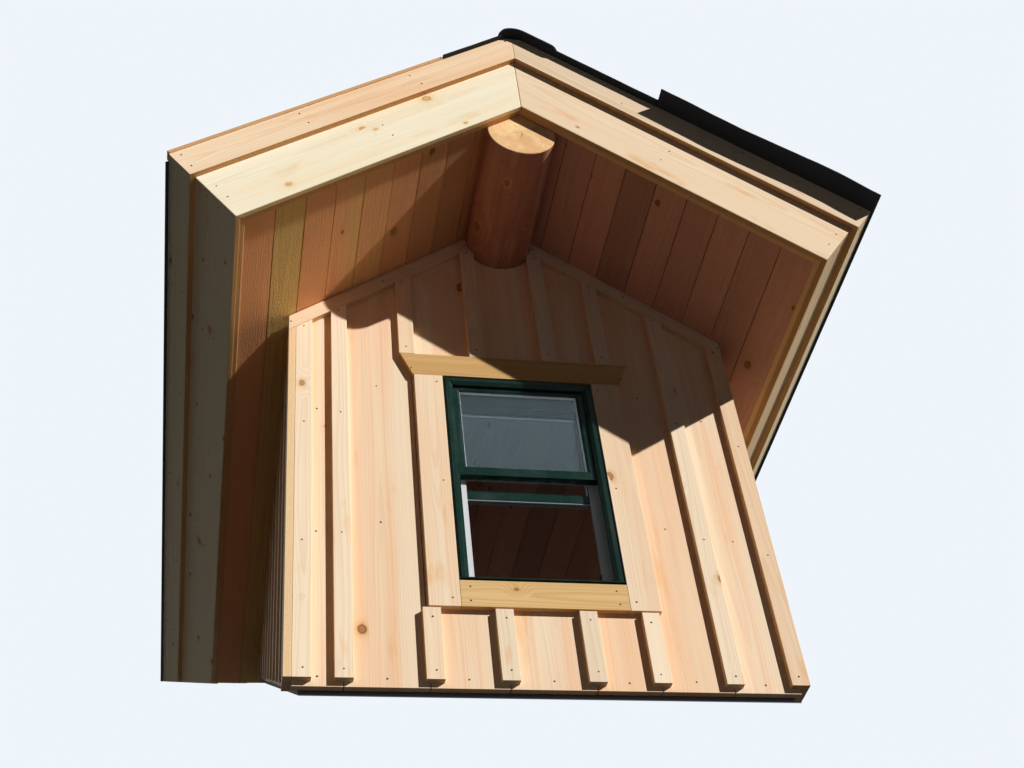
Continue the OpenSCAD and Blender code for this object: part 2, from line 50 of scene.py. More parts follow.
BODY = "root"

# The dormer's own slopes and the slope that it stands on
ROOF_TAN = 9 / 12
SEAT_TAN = 8 / 12
ROOF_ANGLE = math.atan(ROOF_TAN)
SEAT_ANGLE = math.atan(SEAT_TAN)
SEAT_NORMAL = (0, -math.sin(SEAT_ANGLE), math.cos(SEAT_ANGLE))
APEX_Z = 2411

# The roof's rim and its cover, in millimetres down the slope, into the roof and square to the slope
RIM_Y = -783.5
EAVE_S = 1477
ROOF_N = 394
ROOFING_T = 4
LAP_S = 445
LAP_W = 100
STRIP_S = 104
STRIP_Y = -748.5
UPPER_FRONT = {-1: -805.5, 1: -816.5}
LOWEST_FRONT = {-1: -795.5, 1: -874.5}
CAP_RADIUS = 70
CAP_T = 6
CAP_Z = 2821
CAP_FRONT = -827.5
CAP_ENDS = {-1: -215, 1: -60}
CAP_CORNER = 40

# The ridge log: its radius, and its axis under the ceiling's apex
LOG_RADIUS = 146
LOG_DROP = 125

# The photograph's camera, before and below the wall, and its frame's width in pixels
FRAME_WIDTH = 1024
CAMERA_PLACE = (-1.130, -4.259, -2.728)
CAMERA_HEADING = math.radians(14.986)
CAMERA_TILT = math.radians(43.883)
CAMERA_ROLL = math.radians(-7.330)
FOCAL_PIXELS = 1476
SENSOR_WIDTH = 36

# The studio
FLOOR_Z = -4.3
FLOOR_SIZE = 80
TO_KEY_LIGHT = Vector((0.653, -0.617, 0.441))
KEY_STRENGTH = 4.6
KEY_ANGLE = math.radians(0.7)
FILL_COLOR = (0.007, 0.009, 0.015)
SKY_FILL_COLOR = (0.62, 0.64, 0.70)
TO_SKY_FILL = (-0.35, 0.62, 0.70)
SKY_FILL_SPREAD = (0.45, 0.95)
SEAT_SPREAD = (0, 0.2)
BACKGROUND_COLOR = (0.86, 0.91, 0.96)
FLOOR_COLOR = (0.94, 0.93, 0.91)
FLOOR_SHADE = (0.007, 0.007, 0.009)


def direction(word, side=1):
    """The unit vector that a word names, on the left (-1) or the right (1) half of the dormer."""
    return {
        "x": Vector((1, 0, 0)),
        "y": Vector((0, 1, 0)),
        "z": Vector((0, 0, 1)),
        "front": Vector((0, -1, 0)),
        "side": Vector((side, 0, 0)),
        "down": Vector((side * math.cos(ROOF_ANGLE), 0, -math.sin(ROOF_ANGLE))),
        "square": Vector((side * math.sin(ROOF_ANGLE), 0, math.cos(ROOF_ANGLE))),
        "climb": Vector((0, math.cos(SEAT_ANGLE), math.sin(SEAT_ANGLE))),
    }[word]


def slope_point(side, s, y, n):
    """A point of one slope, in metres: s down it from the ceiling's apex, y into the roof, n square to it."""
    return (Vector((0, y, APEX_Z)) + direction("down", side) * s + direction("square", side) * n) * MM


def seat_y(z):
    """How far back a height meets the slope that the dormer stands on."""
    return z / SEAT_TAN


# Node building


class Value:
    """A node's socket that Python's operators turn into Math nodes."""

    def __init__(self, nodes, socket):
        self.nodes = nodes
        self.socket = socket

    def twin(self, name):
        """Another output of the same node."""
        return Value(self.nodes, self.socket.node.outputs[name])

    def math(self, operation, *others):
        return self.nodes.node("ShaderNodeMath", {"operation": operation}, dict(enumerate((self, *others))))

    def __add__(self, other):
        return self.math("ADD", other)

    def __sub__(self, other):
        return self.math("SUBTRACT", other)

    def __rsub__(self, other):
        return self.nodes.node("ShaderNodeMath", {"operation": "SUBTRACT"}, {0: other, 1: self})

    def __mul__(self, other):
        return self.math("MULTIPLY", other)

    def __truediv__(self, other):
        return self.math("DIVIDE", other)

    def __abs__(self):
        return self.math("ABSOLUTE")

    def fraction(self):
        return self.math("FRACT")

    __radd__ = __add__
    __rmul__ = __mul__


class Nodes:
    """A node tree with one method that makes any node."""

    def __init__(self, tree):
        self.tree = tree
        self.tree.nodes.clear()

    def node(self, kind, settings=None, sockets=None, out=0):
        """A node with its settings made first, then its sockets' values or links."""
        made = self.tree.nodes.new(kind)
        for name, value in (settings or {}).items():
            setattr(made, name, value)
        for key, value in (sockets or {}).items():
            self.plug(made.inputs[key], value)
        return Value(self, made.outputs[out]) if made.outputs else None

    def plug(self, socket, value):
        if isinstance(value, Value):
            self.tree.links.new(value.socket, socket)
        else:
            socket.default_value = value

    def attribute(self, name):
        return self.node("ShaderNodeAttribute", {"attribute_name": name}, out="Vector")

    def place(self):
        """The point on the object, in metres."""
        return self.node("ShaderNodeTexCoord", out="Object")

    def parts(self, vector):
        split = self.node("ShaderNodeSeparateXYZ", None, {0: vector})
        return [split.twin(axis) for axis in "XYZ"]

    def vector(self, x, y, z):
        return self.node("ShaderNodeCombineXYZ", None, {0: x, 1: y, 2: z})

    def vector_math(self, operation, a, b=(0, 0, 0), out="Vector"):
        return self.node("ShaderNodeVectorMath", {"operation": operation}, {0: a, 1: b}, out)

    def length(self, vector):
        return self.vector_math("LENGTH", vector, out="Value")

    def stretch(self, vector, x, y, z):
        return self.vector_math("MULTIPLY", vector, (x, y, z))

    def noise(self, vector, scale=1.0, detail=2.0, roughness=0.5):
        return self.node("ShaderNodeTexNoise", None, {
            "Vector": vector, "Scale": scale, "Detail": detail, "Roughness": roughness})

    def streaks(self, vector, x, y, z, **more):
        """Noise with so many spots in a metre along each axis."""
        return self.noise(self.stretch(vector, x, y, z), **more)

    def smooth(self, value, low, high):
        """0 under low, 1 over high, and a soft step between them."""
        return self.node("ShaderNodeMapRange", {"interpolation_type": "SMOOTHSTEP"}, {
            "Value": value, "From Min": low, "From Max": high})

    def mix(self, factor, a, b, blend="MIX"):
        """Two colours mixed, each a value or three numbers."""
        a, b = (color if isinstance(color, Value) else (*color, 1) for color in (a, b))
        settings = {"data_type": "RGBA", "blend_type": blend}
        return self.node("ShaderNodeMix", settings, {0: factor, 6: a, 7: b}, 2)

    def tint(self, color, value):
        """A colour times a value."""
        return self.node("ShaderNodeVectorMath", {"operation": "SCALE"}, {0: color, "Scale": value})

    def seen_directly(self):
        """1 for what the camera sees, also in gloss and through glass, and 0 for what lights the dormer."""
        seen = self.node("ShaderNodeLightPath", out="Is Camera Ray")
        seen_in_gloss = seen.math("MAXIMUM", seen.twin("Is Glossy Ray"))
        return seen_in_gloss.math("MAXIMUM", seen.twin("Is Transmission Ray"))


class Finish(Nodes):
    """One material: a Principled shader and the nodes that feed it."""

    def __init__(self, name, **constants):
        self.material = bpy.data.materials.new(name)
        self.material.use_nodes = True
        super().__init__(self.material.node_tree)
        self.shader = self.node("ShaderNodeBsdfPrincipled")
        self.output = self.tree.nodes.new("ShaderNodeOutputMaterial")
        self.plug(self.output.inputs["Surface"], self.shader)
        self.feed(**constants)

    def feed(self, **sockets):
        """Values or links for the shader's sockets, by their names with underscores as spaces."""
        for name, value in sockets.items():
            self.plug(self.shader.socket.node.inputs[name.replace("_", " ")], value)

    def clear_from_below(self):
        """Lets a camera under the surface look up through it."""
        below = self.node("ShaderNodeNewGeometry", out="Backfacing")
        clear = self.node("ShaderNodeBsdfTransparent")
        mixed = self.node("ShaderNodeMixShader", None, {0: below, 1: self.shader, 2: clear})
        self.plug(self.output.inputs["Surface"], mixed)

    def bump(self, height, distance, strength=1.0):
        self.feed(Normal=self.node("ShaderNodeBump", None, {
            "Height": height, "Distance": distance, "Strength": strength}))


# Finishes

# A knot's middle, its rim and the wood around it
DARK_KNOT = ((0.36, 0.15, 0.05), (0.17, 0.06, 0.02), (0.72, 0.36, 0.12))
AMBER_KNOT = ((0.72, 0.42, 0.17), (0.50, 0.26, 0.09), (0.86, 0.55, 0.24))
RESIN_STAIN = (0.82, 0.42, 0.15)

# Knots: cells in a metre each way, length by width, the least half width and what the largest has more
KNOT_CELLS = (2.3, 7.0, 0.6)
KNOT_LENGTH = 1 / 0.72
LEAST_KNOT = 4.5 * MM
KNOT_RANGE = 14 * MM

# How far apart growth rings are, how far the pith wanders in metres, and how thick a ply is
RING_PITCH = 6.2 * MM
PITH_WANDER = 0.05
PLY_T = 4 * MM


def wood(name, pale, deep, late, rings=0.2, spread=0.35, knots=0.2, stains=0.35, sawn=0.0, plies=0.0,
         rough=0.5, tone_span=0.2, edge_tone_and_light=(0.93, 0.86, 0.78), end_shade=(0.80, 0.66, 0.50),
         knot_colors=DARK_KNOT, is_log=False):
    """Softwood as a solid: growth rings around a wandering pith, fibres, knots and each board's own tones."""
    finish = Finish(name, Specular_IOR_Level=0.05)
    grain = finish.attribute("grain")
    along, across, through = finish.parts(grain)
    tone, warmth, knotty = finish.parts(finish.attribute("board"))
    end, wide, _ = finish.parts(finish.attribute("cut"))
    skin = finish.attribute("skin")
    if is_log:
        turn = across.math("ARCTAN2", through * -1)
        skin = finish.vector(along, turn * (LOG_RADIUS * MM), 0)

    # Knots, at most one in each long cell of the board
    cells = finish.stretch(skin, *KNOT_CELLS)
    nearest = finish.node("ShaderNodeTexVoronoi", None, {"Vector": cells, "Scale": 1}, "Position")
    off = finish.stretch(finish.vector_math("SUBTRACT", cells, nearest),
                         1 / KNOT_LENGTH / KNOT_CELLS[0], 1 / KNOT_CELLS[1], 0)
    chance, size, age = finish.parts(nearest.twin("Color"))
    ragged = finish.streaks(skin, 60, 60, 60, detail=1) * 0.5 + 0.75
    reach = finish.length(off) / (size * size * KNOT_RANGE + LEAST_KNOT) * ragged
    there = finish.smooth(chance + (knotty - 0.5) * 0.5, 1 - knots, 1.03 - knots) * wide
    core = (1 - finish.smooth(reach, 0.8, 1.1)) * there
    rim = finish.smooth(reach, 0.55, 0.9) * (1 - finish.smooth(reach, 0.95, 1.3)) * there
    halo = (1 - finish.smooth(reach, 0.6, 3.6)) * there
    swirl = (1 - finish.smooth(reach, 0.5, 7.0)) * there

    # Rings
    wander = finish.streaks(grain, 0.9, 4, 4, detail=2) - 0.5
    sway = finish.streaks(grain, 0.6, 3, 3.5, detail=1) - 0.5
    radius = finish.length(finish.vector(0, across + wander * PITH_WANDER, through + sway * PITH_WANDER))
    pace = finish.noise(finish.vector(radius * 26, 0, 0), detail=1) * 1.6
    turned = (radius / RING_PITCH + pace + swirl * 2.6).fraction()
    line = finish.smooth(turned, 0.35, 0.92) * (1 - finish.smooth(turned, 0.92, 1.0))

    # Fibres, threads and broad streaks of sapwood and heartwood
    fibre = finish.streaks(grain, 3.0, 260, 260, detail=3, roughness=0.6)
    thread = finish.streaks(grain, 0.9, 75, 75, detail=3, roughness=0.6)
    streak = finish.streaks(grain, 0.35, 24, 24, detail=3, roughness=0.55)
    drift = finish.streaks(grain, 0.7, 6, 6, detail=2)
    heart = finish.smooth(streak * 0.5 + drift * 0.5 + (warmth - 0.5) * spread + swirl * 0.05, 0.36, 0.66)
    color = finish.mix(heart, pale, deep)
    color = finish.mix(line * rings, color, late)
    patch = finish.streaks(grain, 3.2, 11, 11, detail=3, roughness=0.55)
    color = finish.mix(finish.smooth(patch + halo * 0.08, 0.62, 0.76) * stains, color, RESIN_STAIN)
    middle_color, rim_color, halo_color = knot_colors
    color = finish.mix(halo * halo * 0.7, color, halo_color)
    color = finish.mix(core * (0.55 + 0.4 * age), color, middle_color)
    color = finish.mix(rim * (0.25 + 0.55 * age), color, rim_color)
    edge = (1 - wide) * (1 - end)
    # Narrow faces take edge_tone_and_light: partly their own sawn colour, partly painted light and shade that
    # those edges catch.
    color = finish.mix(edge, color, edge_tone_and_light, "MULTIPLY")
    color = finish.mix(end, color, end_shade, "MULTIPLY")
    # A board's tone lightens or darkens it, at random or, on the ceiling boards, as painted light and shade.
    shade = 0.93 + fibre * 0.10 + (thread - 0.5) * 0.16 + (tone - 0.5) * tone_span
    height = fibre * 0.5 - line * 0.3 + core * 0.3

    fuzz = finish.streaks(grain, 150, 300, 300, detail=3, roughness=0.7)
    if sawn:
        mark = finish.streaks(grain, 210, 3, 3, detail=1)
        tuft = finish.streaks(grain, 75, 165, 165, detail=3, roughness=0.65)
        shade = shade + ((fuzz - 0.5) * 0.35 + (mark - 0.5) * 0.14 + (tuft - 0.5) * 0.45) * sawn
        height = height + (fuzz * 1.3 + mark * 0.8 + tuft * (1.3 - warmth) * 7) * sawn
    else:
        shade = shade + (fuzz - 0.5) * edge * 0.5
        height = height + fuzz * edge * 4
    if plies:
        layer = (through / plies).fraction()
        shade = shade - finish.smooth(layer, 0.45, 0.55) * finish.smooth(end + edge, 0.1, 0.4) * 0.25
    if is_log:
        spoke = finish.noise(finish.vector(turn * 2.1, radius * 9, 0), detail=1)
        split = abs((turn * 0.8 + spoke * 1.2).fraction() - 0.5) * radius
        inner = 1 - finish.smooth(radius + spoke * 0.08, 0.05, 0.12)
        check = (1 - finish.smooth(split, 0.3 * MM, 1.2 * MM)) * end * inner
        shade = shade - check * 0.35
        height = height - check * 4

    finish.feed(Base_Color=finish.tint(color, shade), Roughness=rough + fibre * 0.12 + sawn * 0.2)
    finish.bump(height, (0.6 + sawn * 2.2) * MM, 0.5 + sawn * 0.5)
    return finish.material


def painted(name, color, rough, gloss):
    """Factory paint or vinyl, with a faint ripple, patches of dust and fine scuffs."""
    finish = Finish(name, Specular_IOR_Level=gloss)
    place = finish.place()
    dust = finish.streaks(place, 9, 9, 5, detail=4, roughness=0.6)
    ripple = finish.noise(place, 140, 2)
    scuff = finish.smooth(finish.streaks(place, 300, 300, 25, detail=2), 0.66, 0.72)
    dusty = tuple(0.93 * part + 0.07 * 0.25 for part in color)
    tone = finish.mix(finish.smooth(dust, 0.42, 0.74), color, dusty)
    finish.feed(Base_Color=finish.tint(tone, 1 + scuff * 0.2), Roughness=rough + dust * 0.12 + scuff * 0.15)
    finish.bump(ripple + scuff * 0.4, 0.25 * MM, 0.2)
    return finish.material


def gritty(name, color, grit_color, scale, rough):
    """Black sheet with mineral grit pressed into it, in slow waves."""
    finish = Finish(name, Specular_IOR_Level=0.25)
    place = finish.place()
    grains = finish.node("ShaderNodeTexVoronoi", None, {"Vector": place, "Scale": scale})
    patches = finish.streaks(place, 3, 2, 3, detail=4, roughness=0.6)
    waves = finish.streaks(place, 6, 2.5, 6, detail=2)
    speck = (1 - finish.smooth(grains, 0.25, 0.42)) * finish.smooth(patches, 0.35, 0.75)
    finish.feed(Base_Color=finish.mix(speck * 0.6, color, grit_color), Roughness=rough - speck * 0.1)
    finish.bump(speck * 0.5 + waves * 6, 1.0 * MM, 0.6)
    return finish.material


def folded_metal(name, color):
    """Coated sheet metal with rubbed streaks."""
    finish = Finish(name, Metallic=0.35)
    place = finish.place()
    rub = finish.streaks(place, 2, 90, 90, detail=3)
    rubbed = tuple(part * 1.3 + 0.04 for part in color)
    finish.feed(Base_Color=finish.mix(finish.smooth(rub, 0.5, 0.8), color, rubbed),
                Roughness=0.38 + rub * 0.2)
    finish.bump(rub, 0.2 * MM, 0.3)
    return finish.material


def steel(name, color):
    """A nail's head: dull steel with a trace of rust."""
    finish = Finish(name, Metallic=0.2, Specular_IOR_Level=0.3)
    spots = finish.noise(finish.place(), 600, 2)
    finish.feed(Base_Color=finish.mix(finish.smooth(spots, 0.5, 0.7), color, (0.07, 0.03, 0.015)),
                Roughness=0.5 + spots * 0.2)
    return finish.material


def pane_glass(name, color):
    """Clear window glass with a thin haze of dust."""
    finish = Finish(name, Transmission_Weight=1.0, IOR=1.5, Specular_Tint=(0.15, 0.23, 0.28, 1))
    haze = finish.streaks(finish.place(), 5, 5, 3, detail=3)
    finish.feed(Base_Color=(*color, 1), Roughness=finish.smooth(haze, 0.45, 0.95) * 0.04)
    return finish.material


CREAM = (0.93, 0.75, 0.53)
PEACH = (0.92, 0.60, 0.37)
LATE_WOOD = (0.68, 0.36, 0.18)

WALL_BOARD = wood("planed_wall_board", CREAM, PEACH, LATE_WOOD, rings=0.15, spread=0.5, knots=0.09)
TRIM_BOARD = wood("planed_trim_board", CREAM, (0.91, 0.65, 0.42), LATE_WOOD, spread=0.5, knots=0.24,
                  stains=0.5, edge_tone_and_light=(0.94, 0.82, 0.64))
HONEY_BOARD = wood("honey_trim_board", (0.79, 0.53, 0.24), (0.70, 0.41, 0.15), (0.50, 0.27, 0.09), rings=0.35,
                   knots=0.5, stains=0.3)
# Its edge tone paints the golden light on the cream fascia's lower edge.
CREAM_BOARD = wood("cream_rim_board", (0.98, 0.89, 0.67), (0.95, 0.76, 0.48), (0.84, 0.56, 0.28),
                   knots=0.4, stains=0.25, edge_tone_and_light=(1.0, 0.82, 0.56), knot_colors=AMBER_KNOT)
# Its edge tone is partly painted shade on the rim boards' narrow faces.
RIM_BOARD = wood("planed_rim_board", (0.92, 0.71, 0.48), (0.86, 0.54, 0.31), (0.66, 0.36, 0.18), rings=0.22,
                 spread=0.5, stains=0.6, edge_tone_and_light=(0.74, 0.52, 0.32))
# Its wide tone span lets the ceiling boards' tones paint light and shade board by board.
CEILING_BOARD = wood("sawn_ceiling_board", (0.85, 0.57, 0.20), (0.94, 0.45, 0.20), (0.62, 0.24, 0.09),
                     spread=0.9, knots=0.24, sawn=0.6, rough=0.62, tone_span=0.9)
# The right slope's ceiling wood: a copy of the ceiling's with painted shade, pinker and bluer.
SHADED_CEILING_BOARD = wood("red_ceiling_board", (0.84, 0.49, 0.29), (0.86, 0.42, 0.27), (0.55, 0.24, 0.14),
                         spread=0.9, knots=0.3, stains=0.2, sawn=0.5, rough=0.62, tone_span=0.9)
LOG = wood("peeled_log", (0.68, 0.33, 0.21), (0.54, 0.21, 0.13), (0.38, 0.14, 0.07), rings=0.3, knots=0.75,
           stains=0.3, rough=0.42, end_shade=(1.60, 2.40, 1.90), is_log=True)
# Its edge tone, above 1, paints light on the backing's lower edges.
BACKING = wood("sawn_backing_board", (0.78, 0.52, 0.28), (0.74, 0.42, 0.19), (0.56, 0.27, 0.11), rings=0.3,
               knots=0.3, sawn=0.3, rough=0.6, edge_tone_and_light=(1.15, 1.05, 0.9))
EAVE_BOARD = wood("golden_eave_board", (0.88, 0.69, 0.42), (0.80, 0.54, 0.28), (0.60, 0.36, 0.16), rings=0.24,
                  spread=0.5, knots=0.25, stains=0.4, edge_tone_and_light=(0.80, 0.60, 0.40))
FRAMING = wood("framing_lumber", (0.80, 0.60, 0.38), (0.70, 0.46, 0.25), (0.56, 0.33, 0.16), rings=0.3,
               knots=0.4, sawn=0.15, rough=0.6)
SHEATHING = wood("plywood", (0.72, 0.52, 0.32), (0.62, 0.41, 0.23), (0.48, 0.28, 0.14), rings=0.5,
                 knots=0.25, plies=PLY_T, rough=0.65)
FELT = gritty("black_felt", (0.022, 0.022, 0.025), (0.05, 0.05, 0.05), 900, 0.8)
ROOFING = gritty("black_roofing", (0.010, 0.010, 0.012), (0.06, 0.06, 0.065), 420, 0.8)
FLASHING = folded_metal("dark_flashing", (0.035, 0.035, 0.04))
GREEN_PAINT = painted("green_paint", (0.003, 0.023, 0.016), 0.22, 0.09)
VINYL = painted("grey_vinyl", (0.60, 0.61, 0.61), 0.4, 0.4)
GLASS = pane_glass("window_glass", (0.92, 0.97, 0.97))
SPACER = folded_metal("glass_spacer", (0.42, 0.43, 0.44))
NAIL_STEEL = steel("nail_steel", (0.022, 0.018, 0.016))


# Pieces


def add_object(name, data):
    made = bpy.data.objects.new(name, data)
    bpy.context.scene.collection.objects.link(made)
    return made


def add_piece(name, mesh, material, replaced=()):
    """Puts a mesh in the scene as a piece of the dormer."""
    mesh.name = name
    mesh.materials.clear()
    mesh.materials.append(material)
    piece = add_object(name, mesh)
    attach(piece, BODY)
    if replaced:
        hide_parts(*replaced)


def finished_mesh(solid, smooth_angle=None):
    """A mesh of closed solids with its faces outwards, smooth where they turn less than an angle."""
    bmesh.ops.recalc_face_normals(solid, faces=solid.faces)
    mesh = bpy.data.meshes.new("piece")
    solid.to_mesh(mesh)
    solid.free()
    if smooth_angle:
        mesh.shade_smooth()
        mesh.set_sharp_from_angle(angle=smooth_angle)
    return mesh


def write_vectors(mesh, name, vectors, domain="POINT"):
    """Puts a vector on each point or face of a mesh, for materials and node trees to read."""
    layer = mesh.attributes.new(name, "FLOAT_VECTOR", domain)
    layer.data.foreach_set("vector", [part for vector in vectors for part in vector])


def box_mm(node):
    """The low and high corners of a CAD node, in millimetres."""
    return [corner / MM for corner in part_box(node)]


def span(solid, first, last):
    """Faces between two rows of corners."""
    for corners in zip(first, first[1:], last[1:], last):
        solid.faces.new(corners)


def centre_of(solid):
    """The mean of a solid's corners."""
    corners = [corner.co for corner in solid.verts]
    return sum(corners, Vector()) / len(corners)


# How near corners are one, how flat faces are one, and from where an edge is sharp
WELD = 0.01 * MM
FLAT_ANGLE = math.radians(0.4)
SHARP_ANGLE = math.radians(20)


def plain_solids(node):
    """The separate solids of a CAD node, as meshes with whole flat faces, in a steady order."""
    whole = bmesh.new()
    whole.from_mesh(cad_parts[node].data)
    bmesh.ops.remove_doubles(whole, verts=whole.verts, dist=WELD)
    bmesh.ops.dissolve_limit(whole, angle_limit=FLAT_ANGLE, verts=whole.verts, edges=whole.edges)
    whole.verts.index_update()
    found = {}
    solids = []
    for first in whole.verts:
        if first.index in found:
            continue
        solid = bmesh.new()
        waiting = [first]
        found[first.index] = solid.verts.new(first.co)
        island = []
        while waiting:
            corner = waiting.pop()
            island.append(corner)
            for edge in corner.link_edges:
                other = edge.other_vert(corner)
                if other.index not in found:
                    found[other.index] = solid.verts.new(other.co)
                    waiting.append(other)
        faces = {face.index: face for corner in island for face in corner.link_faces}
        for index in sorted(faces):
            solid.faces.new([found[corner.index] for corner in faces[index].verts])
        solid.verts.index_update()
        solids.append(solid)
    whole.free()
    solids.sort(key=lambda solid: tuple(round(part, 3) for part in centre_of(solid)))
    return solids


def ease_edges(solid, width, segments=2):
    """Rounds the sharp edges a little, as a plane or sandpaper does."""
    solid.normal_update()
    sharp = [edge for edge in solid.edges if edge.calc_face_angle(0) > SHARP_ANGLE]
    bmesh.ops.bevel(solid, geom=sharp, offset=width, segments=segments, profile=0.5,
                    affect="EDGES", clamp_overlap=True)


def shift_board(solid, along, dice, high, low, tilt):
    """Lifts a board by one height at the apex and another at the eave, and tilts it a little."""
    centre = centre_of(solid)
    side = -1 if centre.x < 0 else 1
    share = (centre - slope_point(side, 0, 0, 0)).dot(direction("down", side)) / (EAVE_S * MM)
    height = high + (low - high) * share + dice.uniform(-1, 1) * UNEVEN_JITTER
    lift = direction("square", side) * height * MM
    turn = Matrix.Rotation(dice.uniform(-tilt, tilt), 4, along)
    for corner in solid.verts:
        corner.co = centre + lift + turn @ (corner.co - centre)


# How far, in metres, a board's middle lies from its tree's pith
PITH_DEPTH = (0.03, 0.11)


class Lumber:
    """Boards gathered into one mesh, each with the grain that its wood finish reads."""

    def __init__(self, seed):
        self.dice = random.Random(seed)
        self.points, self.faces = [], []
        self.grain, self.skin, self.board, self.cut = [], [], [], []

    def add(self, solid, along, across, tones=None):
        """Adds a board by the ways of its length and width, sawn somewhere near its tree's pith."""
        through = along.cross(across).normalized()
        centre = centre_of(solid)
        half = max(abs((corner.co - centre).dot(across)) for corner in solid.verts)
        pith = Vector((self.dice.uniform(0, 30), self.dice.uniform(-0.9, 0.9) * half,
                       self.dice.uniform(*PITH_DEPTH) * self.dice.choice((-1, 1))))
        knot_place = Vector([self.dice.uniform(0, 50) for _ in range(3)])
        drawn = tuple(self.dice.random() for _ in range(3))
        start = len(self.points)
        for corner in solid.verts:
            off = corner.co - centre
            local = Vector((off.dot(along), off.dot(across), off.dot(through)))
            self.points.append(corner.co.copy())
            self.grain.append(local + pith)
            self.skin.append(local + knot_place)
            self.board.append(tones or drawn)
        for face in solid.faces:
            self.faces.append([start + corner.index for corner in face.verts])
            end, wide = (min(1, max(0, abs(face.normal.dot(way)) * 1.6 - 0.5)) for way in (along, through))
            self.cut.append((end, wide, 0))

    def mesh(self):
        """All the boards, with what their wood finish reads."""
        mesh = bpy.data.meshes.new("lumber")
        mesh.from_pydata(self.points, [], self.faces)
        write_vectors(mesh, "grain", self.grain)
        write_vectors(mesh, "skin", self.skin)
        write_vectors(mesh, "board", self.board)
        write_vectors(mesh, "cut", self.cut, "FACE")
        mesh.update()
        return mesh


def longest_way(solid, side, words):
    """The word whose direction the solid reaches furthest along."""
    def reach(word):
        places = [corner.co.dot(direction(word, side)) for corner in solid.verts]
        return max(places) - min(places)
    return max(words, key=reach)


# Nails: how far they keep from a board's ends, and how far a middle one and an end one stray
NAIL_END = 38 * MM
NAIL_STRAY = (14 * MM, 5 * MM)
nail_places = []


def nail_board(solid, along, across, facing, pitch, rows, dice):
    """Notes where nails are driven into one board's face, in rows along it."""
    tree = BVHTree.FromBMesh(solid)
    places = [corner.co.dot(along) for corner in solid.verts]
    low, high = min(places) + NAIL_END, max(places) - NAIL_END
    count = max(1, round((high - low) / (pitch * MM)))
    centre = centre_of(solid)
    for step in range(count + 1):
        for row in rows:
            sway = dice.uniform(-1, 1) * (NAIL_STRAY[0] if 0 < step < count else NAIL_STRAY[1])
            level = low + (high - low) * step / count + sway - centre.dot(along)
            aim = centre + along * level + across * (row * MM + dice.uniform(-1, 1) * NAIL_STRAY[1])
            place, normal, _, _ = tree.ray_cast(aim + facing, -facing)
            if place and normal.dot(facing) > 0.99:
                nail_places.append((place, facing))


def dress_lumber(node, seed, material, along, across, nails=None):
    """Boards in a node's place. Several words for the grain let each solid take its longest."""
    lumber = Lumber(seed)
    tones = BOARD_TONES.get(node)
    for number, solid in enumerate(plain_solids(node)):
        side = -1 if centre_of(solid).x < 0 else 1
        word = longest_way(solid, side, along.split())
        length_way = direction(word, side)
        width_way = direction(dict(zip(along.split(), across.split()))[word], side)
        if node in UNEVEN:
            shift_board(solid, length_way, lumber.dice, *UNEVEN[node])
        solid.normal_update()
        if nails:
            facing, pitch, *rows = nails
            nail_board(solid, length_way, width_way, direction(facing, side), pitch, rows, lumber.dice)
        ease_edges(solid, EASE.get(node, BOARD_EASE) * MM)
        solid.normal_update()
        solid.verts.index_update()
        lumber.add(solid, length_way, width_way, tones[number % len(tones)] if tones else None)
        solid.free()
    add_piece(node + "_wood", lumber.mesh(), material, [node])


# Each node of lumber: its finish, directions of grain and width, and its nails' facing, pitch and rows
LUMBER = {
    "sill_plate": (FRAMING, "x", "y"),
    "cheek_sole_plates": (FRAMING, "climb", "x"),
    "wall_studs": (FRAMING, "z", "y"),
    "top_plates": (FRAMING, "y down", "x y"),
    "window_framing": (FRAMING, "x", "y"),
    "front_sheathing": (SHEATHING, "z", "x"),
    "cheek_sheathing": (SHEATHING, "z", "y"),
    "front_boards": (WALL_BOARD, "z", "x", ("front", 610, 0)),
    "front_battens": (TRIM_BOARD, "z", "x", ("front", 560, 0)),
    "front_corner_boards": (TRIM_BOARD, "z", "x", ("front", 505, 0)),
    "side_corner_boards": (TRIM_BOARD, "z", "y", ("side", 505, 0)),
    "friezes": (TRIM_BOARD, "down", "square", ("front", 600, 0)),
    "left_cheek_boards": (WALL_BOARD, "z", "y", ("side", 610, 0)),
    "right_cheek_boards": (WALL_BOARD, "z", "y", ("side", 610, 0)),
    "cheek_battens": (TRIM_BOARD, "z", "y", ("side", 560, 0)),
    "head_trim": (HONEY_BOARD, "x", "z", ("front", 430, -24)),
    "left_trim": (TRIM_BOARD, "z", "x", ("front", 505, 29)),
    "right_trim": (TRIM_BOARD, "z", "x", ("front", 505, -29)),
    "apron_trim": (HONEY_BOARD, "x", "z", ("front", 550, -28, 28)),
    "ridge_board": (FRAMING, "y", "z"),
    "left_ceiling": (CEILING_BOARD, "y", "down"),
    "right_ceiling": (SHADED_CEILING_BOARD, "y", "down"),
    "rafters": (FRAMING, "down", "square"),
    "purlins": (FRAMING, "y", "down"),
    "roof_deck": (SHEATHING, "y", "down"),
    "left_rake_fascia": (CREAM_BOARD, "down", "square", ("front", 640, -38, 38)),
    "right_rake_fascia": (RIM_BOARD, "down", "square", ("front", 640, -38, 38)),
    "left_rake_trim": (RIM_BOARD, "down", "square", ("front", 600, -35, 35)),
    "right_rake_trim": (RIM_BOARD, "down", "square", ("front", 600, -35, 35)),
    "eave_fascias": (EAVE_BOARD, "y", "square", ("down", 620, -38, 38)),
    "eave_trims": (EAVE_BOARD, "y", "square", ("down", 600, -35, 35)),
    "rim_backing": (BACKING, "y down", "square square"),
    "rake_strip": (RIM_BOARD, "down", "y"),
}
